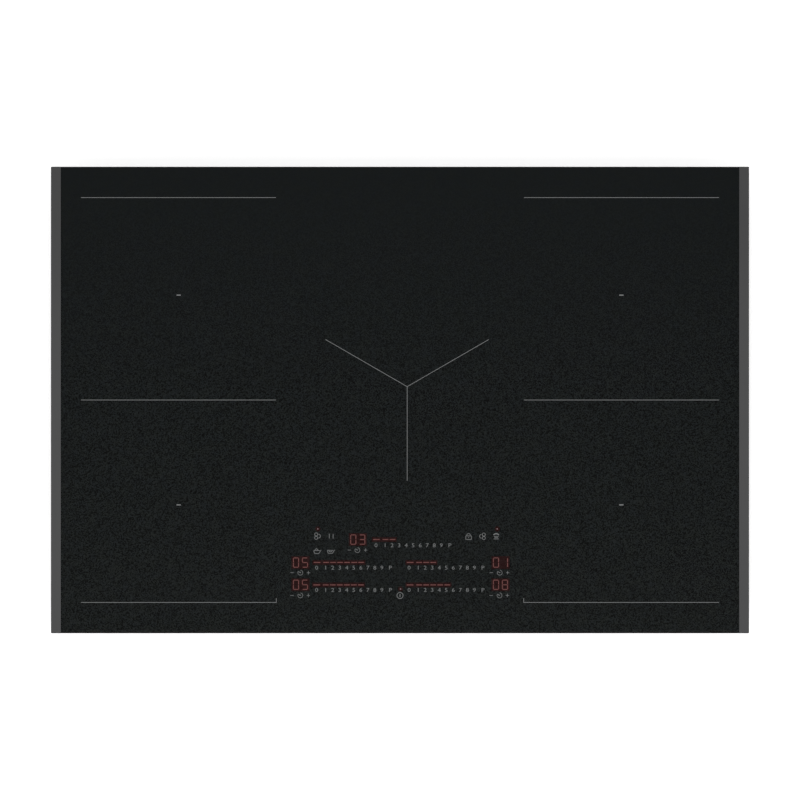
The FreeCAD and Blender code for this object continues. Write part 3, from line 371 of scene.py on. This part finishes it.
def makeFinish(slot):
    look = finishes[slot]
    mat = bpy.data.materials.new(slot)
    mat.use_nodes = True
    tree = mat.node_tree
    skin = tree.nodes["Principled BSDF"]
    vector = placeVector(tree, look.get("stretch", (1, 1, 1)))
    grain = useGroup(tree, grainGroup, vector, Scale=look["grain"])
    tone = grain
    if "crystalWander" in look:  # zinc crystals over a finer mottle
        grain = useGroup(tree, grainGroup, vector, Scale=crystalLook["mottleScale"] * look["grain"])
        cells = useGroup(tree, cellGroup, vector, Scale=look["grain"], Wander=look["crystalWander"])
        tone = blendValues(tree, crystalLook["mottleShare"], cells, grain)
    colour = blendColours(tree, tone, look["dark"], look["light"])
    if "worn" in look:
        wear = useGroup(tree, wearGroup, vector)
        colour = mixSockets(tree, wear, colour, plainColour(tree, look["worn"]))
    tree.links.new(colour, skin.inputs["Base Color"])
    tree.links.new(spreadValue(tree, tone, *look["rough"]), skin.inputs["Roughness"])
    skin.inputs["Metallic"].default_value = look.get("metal", 0.0)
    addBump(tree, skin, grain, look["bump"])
    return mat


# The black glass: a matt enamelled top with fine flecks. Painted light: its colour is painted lighter towards
# the front, and its flecks are painted with more contrast there, as the light falls from the front

glassLook = {
    # Painted light: rear and front are the glass's colours at its rear and front edges, with the front one
    # painted lighter. quiet, flecksFrom and flecksFull paint the flecks stronger towards the front
    "low": (0.0003, 0.0004, 0.0004), "rear": (0.0098, 0.0122, 0.0119), "front": (0.0136, 0.0160, 0.0146),
    "fleckScale": 1150.0, "fleckSpan": (0.22, 0.78), "flecksFrom": 0.245, "flecksFull": 0.01,
    "quiet": 0.12, "quietLevel": 0.5, "patchScale": 130.0, "patch": (0.96, 0.98, 1.10),
    # painted shade: edge is the near black painted where the glass does not face up, from flatFrom to
    # flatFull
    "edge": (0.0004, 0.0004, 0.0004), "flatFrom": 0.85, "flatFull": 0.98,
    "rough": (0.46, 0.50), "specular": 0.04, "bump": 0.01 * mm, "bumpStrength": 0.2,
}


def makeGlassFinish(name, halo=None):
    mat = bpy.data.materials.new(name)
    mat.use_nodes = True
    tree = mat.node_tree
    skin = tree.nodes["Principled BSDF"]
    vector = placeVector(tree)
    place = tree.nodes.new("ShaderNodeSeparateXYZ")
    tree.links.new(vector, place.inputs["Vector"])
    front, rear = (corner[1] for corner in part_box("glass_panel"))
    patches = useGroup(tree, grainGroup, vector, Scale=glassLook["patchScale"])
    flecks = useGroup(tree, cellGroup, vector, Scale=glassLook["fleckScale"])
    flecks = spreadValue(tree, flecks, 0.0, 1.0, *glassLook["fleckSpan"])
    # painted light: how much the flecks show, from quiet at the rear up to full towards the front
    reach = spreadValue(tree, place.outputs["Y"], glassLook["quiet"], 1.0,
                        glassLook["flecksFrom"], glassLook["flecksFull"])
    # painted light: the glass's colour runs from the rear colour to the lighter front colour
    along = spreadValue(tree, place.outputs["Y"], 0.0, 1.0, rear, front)
    tint = tree.nodes.new("ShaderNodeMix")
    tint.data_type = "RGBA"
    tint.blend_type = "MULTIPLY"
    tree.links.new(patches, tint.inputs["Factor"])
    tree.links.new(blendColours(tree, along, glassLook["rear"], glassLook["front"]), tint.inputs["A"])
    tint.inputs["B"].default_value = (*glassLook["patch"], 1)
    level = tree.nodes.new("ShaderNodeMix")  # one even tone where the flecks are quiet
    level.inputs["A"].default_value = glassLook["quietLevel"]
    tree.links.new(reach, level.inputs["Factor"])
    tree.links.new(flecks, level.inputs["B"])
    low = plainColour(tree, glassLook["low"])
    speckled = mixSockets(tree, level.outputs["Result"], low, tint.outputs["Result"])
    # Painted shade: the chamfers and sides of the glass, which do not face up, are painted near black
    shape = tree.nodes.new("ShaderNodeNewGeometry")
    facing = tree.nodes.new("ShaderNodeSeparateXYZ")
    tree.links.new(shape.outputs["Normal"], facing.inputs["Vector"])
    flat = spreadValue(tree, facing.outputs["Z"], 0.0, 1.0, glassLook["flatFrom"], glassLook["flatFull"])
    base = mixSockets(tree, flat, plainColour(tree, glassLook["edge"]), speckled)
    if halo:
        near = tree.nodes.new("ShaderNodeAttribute")
        near.attribute_name = "glow"
        haloDarken = tree.nodes.new("ShaderNodeMix")  # the glass's colour under each halo is darkened, most in green and blue, as much as the halo's glow
        haloDarken.data_type = "RGBA"
        haloDarken.blend_type = "MULTIPLY"
        tree.links.new(near.outputs["Fac"], haloDarken.inputs["Factor"])
        tree.links.new(base, haloDarken.inputs["A"])
        haloDarken.inputs["B"].default_value = (*halo["haloDarkening"], 1)
        base = haloDarken.outputs["Result"]
        tree.links.new(blendColours(tree, near.outputs["Fac"], (0, 0, 0), halo["glow"]),
                       skin.inputs["Emission Color"])
        skin.inputs["Emission Strength"].default_value = 1.0
    tree.links.new(base, skin.inputs["Base Color"])
    tree.links.new(spreadValue(tree, patches, *glassLook["rough"]), skin.inputs["Roughness"])
    skin.inputs["Specular IOR Level"].default_value = glassLook["specular"]
    addBump(tree, skin, flecks, glassLook["bump"], glassLook["bumpStrength"])
    return mat


# The anodised trims: brushed along their length, with a grey that changes from the rear end to the front end:
# painted light, lightest in the middle and lighter at the front than at the rear

trimLook = {
    # painted light: the trims' greys along their length, from the rear end (0) to the front end (1)
    "paintedLightGreys": [(0.0, 0.0445), (0.12, 0.0445), (0.3, 0.051), (0.5, 0.054), (0.75, 0.052), (1.0, 0.0475)],
    "cool": 1.02, "rough": (0.32, 0.42), "grain": 1100.0, "brush": (1, 0.03, 1), "bump": 0.006 * mm,
}


def makeTrimFinish():
    mat = bpy.data.materials.new("trim")
    mat.use_nodes = True
    tree = mat.node_tree
    skin = tree.nodes["Principled BSDF"]
    place = tree.nodes.new("ShaderNodeSeparateXYZ")
    tree.links.new(placeVector(tree), place.inputs["Vector"])
    front, rear = (corner[1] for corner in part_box("side_trim_left"))
    shade = tree.nodes.new("ShaderNodeValToRGB")
    for share, _ in trimLook["paintedLightGreys"][1:-1]:
        shade.color_ramp.elements.new(share)
    for stop, (share, grey) in zip(shade.color_ramp.elements, trimLook["paintedLightGreys"]):
        stop.position = share
        stop.color = (grey, grey, grey * trimLook["cool"], 1)
    # painted light: the grey follows the place from the rear end to the front end
    tree.links.new(spreadValue(tree, place.outputs["Y"], 0.0, 1.0, rear, front), shade.inputs["Fac"])
    tree.links.new(shade.outputs["Color"], skin.inputs["Base Color"])
    grain = useGroup(tree, grainGroup, placeVector(tree, trimLook["brush"]), Scale=trimLook["grain"])
    tree.links.new(spreadValue(tree, grain, *trimLook["rough"]), skin.inputs["Roughness"])
    skin.inputs["Metallic"].default_value = 1.0
    addBump(tree, skin, grain, trimLook["bump"])
    return mat


# The light grey prints and the red lit marks

printLook = {"thin": (0.12, 0.123, 0.124), "full": (0.22, 0.225, 0.226)}
legendLook = {"thin": (0.095, 0.098, 0.099), "full": (0.185, 0.19, 0.191)}
inkLook = {"rough": (0.5, 0.65), "grain": 2400.0, "specular": 0.2}
litLook = {"litRed": {"dim": (0.11, 0.046, 0.043), "bright": (0.16, 0.066, 0.062)},
           "litDot": {"dim": (0.17, 0.11, 0.12), "bright": (0.23, 0.16, 0.17)},
           "base": (0.01, 0.002, 0.002), "grain": 900.0, "rough": 0.5, "specular": 0.04}


def makePrintFinish(name, look):
    mat = bpy.data.materials.new(name)
    mat.use_nodes = True
    tree = mat.node_tree
    skin = tree.nodes["Principled BSDF"]
    grain = useGroup(tree, grainGroup, placeVector(tree), Scale=inkLook["grain"])
    tree.links.new(blendColours(tree, grain, look["thin"], look["full"]), skin.inputs["Base Color"])
    tree.links.new(spreadValue(tree, grain, *inkLook["rough"]), skin.inputs["Roughness"])
    skin.inputs["Specular IOR Level"].default_value = inkLook["specular"]
    return mat


def makeLitFinish(name):
    mat = bpy.data.materials.new(name)
    mat.use_nodes = True
    tree = mat.node_tree
    skin = tree.nodes["Principled BSDF"]
    grain = useGroup(tree, grainGroup, placeVector(tree), Scale=litLook["grain"])
    tree.links.new(blendColours(tree, grain, litLook[name]["dim"], litLook[name]["bright"]),
                   skin.inputs["Emission Color"])
    skin.inputs["Emission Strength"].default_value = 1.0
    skin.inputs["Base Color"].default_value = (*litLook["base"], 1)
    skin.inputs["Roughness"].default_value = litLook["rough"]
    skin.inputs["Specular IOR Level"].default_value = litLook["specular"]
    return mat


# Flat shapes on the glass: each is drawn as faces and then given the print's thickness

printSetup = {"thick": 0.04 * mm, "ringSteps": 32, "discSteps": 16, "textSteps": 2}


def atPixel(x, y):
    return Vector((pixels(x - photoSide / 2), pixels(photoSide / 2 - y), glassTop))


def addStroke(bm, start, end, width):
    along = end - start
    turn = Matrix.Rotation(math.atan2(along.y, along.x), 4, "Z")
    size = Matrix.Diagonal((along.length / 2, width / 2, 1, 1))
    bmesh.ops.create_grid(bm, x_segments=1, y_segments=1, size=1,
                          matrix=Matrix.Translation((start + end) / 2) @ turn @ size)


def addBar(bm, left, top, right, bottom):
    middle = (top + bottom) / 2
    addStroke(bm, atPixel(left, middle), atPixel(right, middle), pixels(bottom - top))


def addRing(bm, centre, radius, width, sweep=360, start=0):
    turn = Matrix.Rotation(math.radians(start), 3, "Z")
    ends = [bm.verts.new(centre + turn @ Vector((radius + step, 0, 0))) for step in (-width / 2, width / 2)]
    edge = bm.edges.new(ends)
    bmesh.ops.spin(bm, geom=[edge, *ends], cent=centre, axis=(0, 0, 1), angle=math.radians(sweep),
                   steps=printSetup["ringSteps"], use_merge=sweep == 360)


def addDisc(bm, centre, radius):
    bmesh.ops.create_circle(bm, cap_ends=True, segments=printSetup["discSteps"], radius=radius,
                            matrix=Matrix.Translation(centre))


def finishPrint(name, bm, mat, thick=printSetup["thick"]):
    bmesh.ops.recalc_face_normals(bm, faces=bm.faces)
    down = [face for face in bm.faces if face.normal.z < 0]
    bmesh.ops.reverse_faces(bm, faces=down)
    raised = bmesh.ops.extrude_face_region(bm, geom=bm.faces[:], use_keep_orig=True)
    tops = [item for item in raised["geom"] if isinstance(item, bmesh.types.BMVert)]
    bmesh.ops.translate(bm, verts=tops, vec=(0, 0, thick))
    bmesh.ops.recalc_face_normals(bm, faces=bm.faces)
    made = meshObject(name, bm)
    made.data.materials.append(mat)
    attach(made, "casing")
    return made


# Lit digits: up to seven bars each, named clockwise from the top with the middle one last

segmentsOf = {"0": "abcdef", "1": "bc", "3": "abcdg", "5": "acdfg", "8": "abcdefg"}
digitLook = {"width": 5.2, "height": 9.3, "stroke": 0.85, "gap": 0.3}


def addDigit(bm, text, left, top):
    wide, high, gap = digitLook["width"], digitLook["height"], digitLook["gap"]
    right, middle, bottom = left + wide, top + high / 2, top + high
    ends = {
        "a": (left + gap, top, right - gap, top), "b": (right, top + gap, right, middle - gap),
        "c": (right, middle + gap, right, bottom - gap), "d": (left + gap, bottom, right - gap, bottom),
        "e": (left, middle + gap, left, bottom - gap), "f": (left, top + gap, left, middle - gap),
        "g": (left + gap, middle, right - gap, middle)}
    for part in segmentsOf[text]:
        x0, y0, x1, y1 = ends[part]
        addStroke(bm, atPixel(x0, y0), atPixel(x1, y1), pixels(digitLook["stroke"]))


# The five control rows, in pixels of the photograph. Each has its digits, its scale with the number of bars
# that are lit over it, and the signs below the digits

controlRows = [
    {"digits": ("03", 350.7), "digitTop": 534.9, "first": 376.0, "numbersY": 545.5,
     "barX": 0.4, "barY": 539.5, "lit": 3, "signs": (349.4, 357.4, 365.6), "signsY": 550.1},
    {"digits": ("05", 293.4), "digitTop": 557.9, "first": 316.6, "numbersY": 567.9,
     "barX": 0.4, "barY": 562.4, "lit": 7, "signs": (292.1, 300.3, 308.4), "signsY": 572.7},
    {"digits": ("05", 293.4), "digitTop": 580.1, "first": 316.6, "numbersY": 590.2,
     "barX": 0.1, "barY": 584.9, "lit": 7, "signs": (292.1, 300.3, 308.4), "signsY": 595.4},
    {"digits": ("01", 493.4), "digitTop": 557.9, "first": 409.1, "numbersY": 567.9,
     "barX": 1.0, "barY": 562.4, "lit": 4, "signs": (491.3, 499.7, 507.6), "signsY": 572.7},
    {"digits": ("08", 493.4), "digitTop": 580.1, "first": 409.1, "numbersY": 590.2,
     "barX": 1.0, "barY": 584.9, "lit": 6, "signs": (491.1, 499.5, 507.4), "signsY": 595.4},
]
rowLook = {"step": 7.02, "firstStep": 9.1, "lastStep": 8.5, "barWide": 5.7, "firstBarWide": 6.7,
           "barHigh": 0.95, "digitStep": 8.95, "numberSize": 5.6, "numberWide": 1.18,
           "signSize": 1.7, "signStroke": 0.5, "clockRadius": 2.45, "clockSweep": 300, "clockStart": -215,
           "clockHands": [(-1.7, -1.3), (0, 0.3), (0.5, -0.7)]}
scaleMarks = "0123456789P"
lampDots = [(317.8, 528.9), (497.2, 528.9), (400.5, 589.0)]
lampRadius = 0.75 * mm


def numberX(row, index):
    if index == 0:
        return row["first"]
    extra = rowLook["lastStep"] - rowLook["step"] if index == len(scaleMarks) - 1 else 0
    return row["first"] + rowLook["firstStep"] + rowLook["step"] * (index - 1) + extra


def makeLitMarks(mat):
    bm = bmesh.new()
    high = rowLook["barHigh"] / 2
    for row in controlRows:
        text, left = row["digits"]
        for index, digit in enumerate(text):
            addDigit(bm, digit, left + rowLook["digitStep"] * index, row["digitTop"])
        for index in range(row["lit"]):
            half = (rowLook["barWide"] if index else rowLook["firstBarWide"]) / 2
            x, y = numberX(row, index) + row["barX"], row["barY"]
            addBar(bm, x - half, y - high, x + half, y + high)
    return finishPrint("litMarks", bm, mat)


def makeLampDots(mat):
    bm = bmesh.new()
    for x, y in lampDots:
        addDisc(bm, atPixel(x, y), lampRadius)
    return finishPrint("lampDots", bm, mat)


# Halos: the faint red light that spreads in the glass round each lit mark, with its sizes in pixels

# haloDarkening: the colour that the glass under each halo is multiplied by, as much as the halo's glow
haloLook = {"glow": (0.0106, 0.0, 0.0), "haloDarkening": (0.68, 0.52, 0.5), "thick": 0.015 * mm, "fade": 1.8,
            "digitSide": 2, "digitHalf": 6.4, "barLeft": 4.6, "barRight": 4.2, "barHalf": 2.4,
            "lampRadius": 2.6}


def makeHalos(mat):
    bm = bmesh.new()
    for row in controlRows:
        text, left = row["digits"]
        wide = rowLook["digitStep"] * (len(text) - 1) + digitLook["width"]
        middle = row["digitTop"] + digitLook["height"] / 2
        side, half = haloLook["digitSide"], haloLook["digitHalf"]
        addBar(bm, left - side, middle - half, left + wide + side, middle + half)
        first, last = (numberX(row, index) + row["barX"] for index in (0, row["lit"] - 1))
        y, half = row["barY"], haloLook["barHalf"]
        addBar(bm, first - haloLook["barLeft"], y - half, last + haloLook["barRight"], y + half)
    for x, y in lampDots:
        addDisc(bm, atPixel(x, y), pixels(haloLook["lampRadius"]))
    bmesh.ops.inset_individual(bm, faces=bm.faces[:], thickness=pixels(haloLook["fade"]))
    rims = {vert for edge in bm.edges if edge.is_boundary for vert in edge.verts}
    glow = bm.verts.layers.float.new("glow")
    for vert in bm.verts:
        vert[glow] = 0.0 if vert in rims else 1.0
    return finishPrint("litHalos", bm, mat, haloLook["thick"])


# Printed legends: the numbers of the scales, the signs and the icons

def addText(bm, text, x, y, size):
    curve = bpy.data.curves.new("legend", "FONT")
    curve.body = text
    curve.size = pixels(size)
    curve.align_x = "CENTER"
    curve.align_y = "CENTER"
    curve.resolution_u = printSetup["textSteps"]
    holder = bpy.data.objects.new("legend", curve)
    scene.collection.objects.link(holder)
    bpy.context.view_layer.update()
    mesh = bpy.data.meshes.new_from_object(holder)
    mesh.transform(Matrix.Translation(atPixel(x, y)) @ Matrix.Diagonal((rowLook["numberWide"], 1, 1, 1)))
    bm.from_mesh(mesh)
    bpy.data.objects.remove(holder)
    bpy.data.curves.remove(curve)
    bpy.data.meshes.remove(mesh)


def addSigns(bm, row):
    minus, clock, plus = row["signs"]
    y = row["signsY"]
    half = rowLook["signSize"]
    width = pixels(rowLook["signStroke"])
    edge = rowLook["signStroke"] / 2
    for x in (minus, plus):
        addStroke(bm, atPixel(x - half, y), atPixel(x + half, y), width)
    addStroke(bm, atPixel(plus, y - half), atPixel(plus, y - edge), width)
    addStroke(bm, atPixel(plus, y + edge), atPixel(plus, y + half), width)
    addRing(bm, atPixel(clock, y), pixels(rowLook["clockRadius"]), width,
            sweep=rowLook["clockSweep"], start=rowLook["clockStart"])
    addPath(bm, [(clock + right, y + down) for right, down in rowLook["clockHands"]])


# The icons, in pixels of the photograph: their strokes and radii, then their places and outlines

iconLook = {"stroke": 0.6, "zoneStep": 1.75, "zoneRadius": 1.55, "linkShift": 2.3, "linkRadius": 1.9,
            "pauseHalf": 0.3, "lockRadius": 1.8, "hoodRadius": 3.3, "hoodSweep": 110, "hoodStart": 35,
            "hoodStroke": 2, "powerRadius": 3.05, "powerStroke": 1.1, "powerBarStroke": 1.3}
zonesPlaces = [((316.2, 536.1), 1), ((483.8, 536.3), -1)]
pauseBars = {"across": (329.3, 333.1), "top": 533.8, "bottom": 538.5}
panRim = [(-3.5, -1.5), (2.6, -1.5)]
panBowl = [(-3.5, -1.5), (-2.6, 1.5), (1.6, 1.5), (3.9, -2.0)]
panPlaces = [((317.2, 552.0), [(314.9, 550.2), (316.5, 548.4), (318.2, 550.2)]),
             ((330.8, 551.8), [(328.4, 550.5), (330.6, 552.0), (332.9, 550.3)])]
lockBody = [(465.8, 535.9), (471.4, 535.9), (471.4, 539.5), (465.8, 539.5), (465.8, 535.9)]
lockSlot = [(468.6, 536.9), (468.6, 538.2)]
lockBow = (468.6, 535.4)
hoodTop = (496.2, 537.0)
hoodLines = [(2.3, 536.4), (1.8, 537.6), (2.6, 538.9)]
powerMiddle = (400, 595.5)
powerBar = ((400, 594.0), (400, 597.0))


def addPath(bm, points):
    width = pixels(iconLook["stroke"])
    for start, end in zip(points, points[1:]):
        addStroke(bm, atPixel(*start), atPixel(*end), width)


def addZonesIcon(bm, x, y, side):  # two linked zones and the arc that joins them
    width = pixels(iconLook["stroke"])
    for step in (-iconLook["zoneStep"], iconLook["zoneStep"]):
        addRing(bm, atPixel(x, y + step), pixels(iconLook["zoneRadius"]), width)
    addRing(bm, atPixel(x + side * iconLook["linkShift"], y), pixels(iconLook["linkRadius"]), width,
            sweep=180, start=-90 if side > 0 else 90)


def addPanIcon(bm, x, y):  # a bowl with a handle on its right
    for outline in (panBowl, panRim):
        addPath(bm, [(x + right, y + down) for right, down in outline])


def addIcons(bm):
    width = pixels(iconLook["stroke"])
    for (x, y), side in zonesPlaces:
        addZonesIcon(bm, x, y, side)
    half = iconLook["pauseHalf"]
    for x in pauseBars["across"]:
        addBar(bm, x - half, pauseBars["top"], x + half, pauseBars["bottom"])
    for (x, y), steam in panPlaces:
        addPanIcon(bm, x, y)
        addPath(bm, steam)
    addPath(bm, lockBody)
    addPath(bm, lockSlot)
    addRing(bm, atPixel(*lockBow), pixels(iconLook["lockRadius"]), width, sweep=180)
    addRing(bm, atPixel(*hoodTop), pixels(iconLook["hoodRadius"]), width * iconLook["hoodStroke"],
            sweep=iconLook["hoodSweep"], start=iconLook["hoodStart"])
    for half, y in hoodLines:
        addPath(bm, [(hoodTop[0] - half, y), (hoodTop[0] + half, y)])
    addRing(bm, atPixel(*powerMiddle), pixels(iconLook["powerRadius"]), width * iconLook["powerStroke"])
    addStroke(bm, atPixel(*powerBar[0]), atPixel(*powerBar[1]), width * iconLook["powerBarStroke"])


def makeLegends(mat):
    bm = bmesh.new()
    for row in controlRows:
        for index, label in enumerate(scaleMarks):
            addText(bm, label, numberX(row, index), row["numbersY"], rowLook["numberSize"])
        addSigns(bm, row)
    addIcons(bm)
    return finishPrint("controlLegends", bm, mat)


# Coil windings: one spiral of litz wire for each coil, in the space of its plain ring

windingLook = {"turns": 17, "steps": 40, "wire": 2.7 * mm, "roundness": 1, "inner": 28 * mm,
               "squareEarly": 1.6, "squareness": 1.8}
sideCoil = {"halfY": 103 * mm, "flat": 16 * mm}


def coilSpaces(unit):  # for each coil of a unit: its middle, its half sizes and the radius of its corners
    low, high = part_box(f"coil_windings_{unit}")
    wireHalf = windingLook["wire"] / 2
    halfX, halfY, flat = (high[0] - low[0]) / 2, (high[1] - low[1]) / 2, 0
    middles = [(low[1] + high[1]) / 2]
    if unit != "centre":
        halfY, flat = sideCoil["halfY"], sideCoil["flat"]
        middles = [-(high[1] - halfY), high[1] - halfY]
    for middle in middles:
        centre = Vector(((low[0] + high[0]) / 2, middle, (low[2] + high[2]) / 2))
        yield centre, halfX - wireHalf, halfY - wireHalf, min(halfX - wireHalf, halfY - wireHalf) - flat


def spiralPoints(centre, halfX, halfY, corner):  # round at its start, and soon as square as its coil
    flatX, flatY = halfX - corner, halfY - corner
    inner = windingLook["inner"] + windingLook["wire"] / 2
    count = windingLook["turns"] * windingLook["steps"]
    for index in range(count + 1):
        share = index / count
        turn = 2 * math.pi * windingLook["turns"] * share
        reach = inner + (corner - inner) * share
        grow = min(1.0, share * windingLook["squareEarly"])
        shiftX = flatX * grow * max(-1.0, min(1.0, windingLook["squareness"] * math.cos(turn)))
        shiftY = flatY * grow * max(-1.0, min(1.0, windingLook["squareness"] * math.sin(turn)))
        yield centre + Vector((reach * math.cos(turn) + shiftX, reach * math.sin(turn) + shiftY, 0))


def fitToUnit(made, unit, mat):
    scene.collection.objects.link(made)
    made.data.materials.clear()
    made.data.materials.append(mat)
    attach(made, f"coil_unit_{unit}")


def makeWindings(mat):
    for unit in ("left", "right", "centre"):
        curve = bpy.data.curves.new(f"windings_{unit}", "CURVE")
        curve.dimensions = "3D"
        curve.bevel_depth = windingLook["wire"] / 2
        curve.bevel_resolution = windingLook["roundness"]
        curve.use_fill_caps = True
        for space in coilSpaces(unit):
            points = list(spiralPoints(*space))
            spline = curve.splines.new("POLY")
            spline.points.add(len(points) - 1)
            for point, place in zip(spline.points, points):
                point.co = (*place, 1)
        holder = bpy.data.objects.new("holder", curve)
        scene.collection.objects.link(holder)
        bpy.context.view_layer.update()
        made = bpy.data.objects.new(f"windings_{unit}", bpy.data.meshes.new_from_object(holder))
        bpy.data.objects.remove(holder)
        for face in made.data.polygons:
            face.use_smooth = True
        fitToUnit(made, unit, mat)
        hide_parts(f"coil_windings_{unit}")


# Coil springs: the real wires shorten with the unit's travel. Here each unit's springs are copied with their
# own mesh and attached to the unit whole, and the original is hidden


def makeSprings(mat):
    for unit in ("left", "right", "centre"):
        node = f"coil_springs_{unit}"
        made = cadNodes[node].copy()
        made.data = cadNodes[node].data.copy()
        made.name = f"springs_{unit}"
        made.parent = None
        made.matrix_world = Matrix.Identity(4)
        fitToUnit(made, unit, mat)
        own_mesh(made)
        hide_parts(node)


makeCamera()
makeWorld()
makeFloor()
makeLamp("front")
makeLamp("rear")
print("camera, floor and light made")

materials = {slot: makeFinish(slot) for slot in finishes}
materials["black_glass"] = makeGlassFinish("black_glass")
materials["trim"] = makeTrimFinish()
materials["print"] = makePrintFinish("print", printLook)
for name, item in cadNodes.items():
    for slot in item.material_slots:
        slot.material = materials[slotOf[name]]
print("finishes made:", len(materials))

makeHalos(makeGlassFinish("haloGlass", haloLook))
makeLitMarks(makeLitFinish("litRed"))
makeLampDots(makeLitFinish("litDot"))
makeLegends(makePrintFinish("legendPrint", legendLook))
print("control marks made")
makeWindings(materials["copper_litz"])
makeSprings(materials["spring_steel"])
print("windings and springs made")
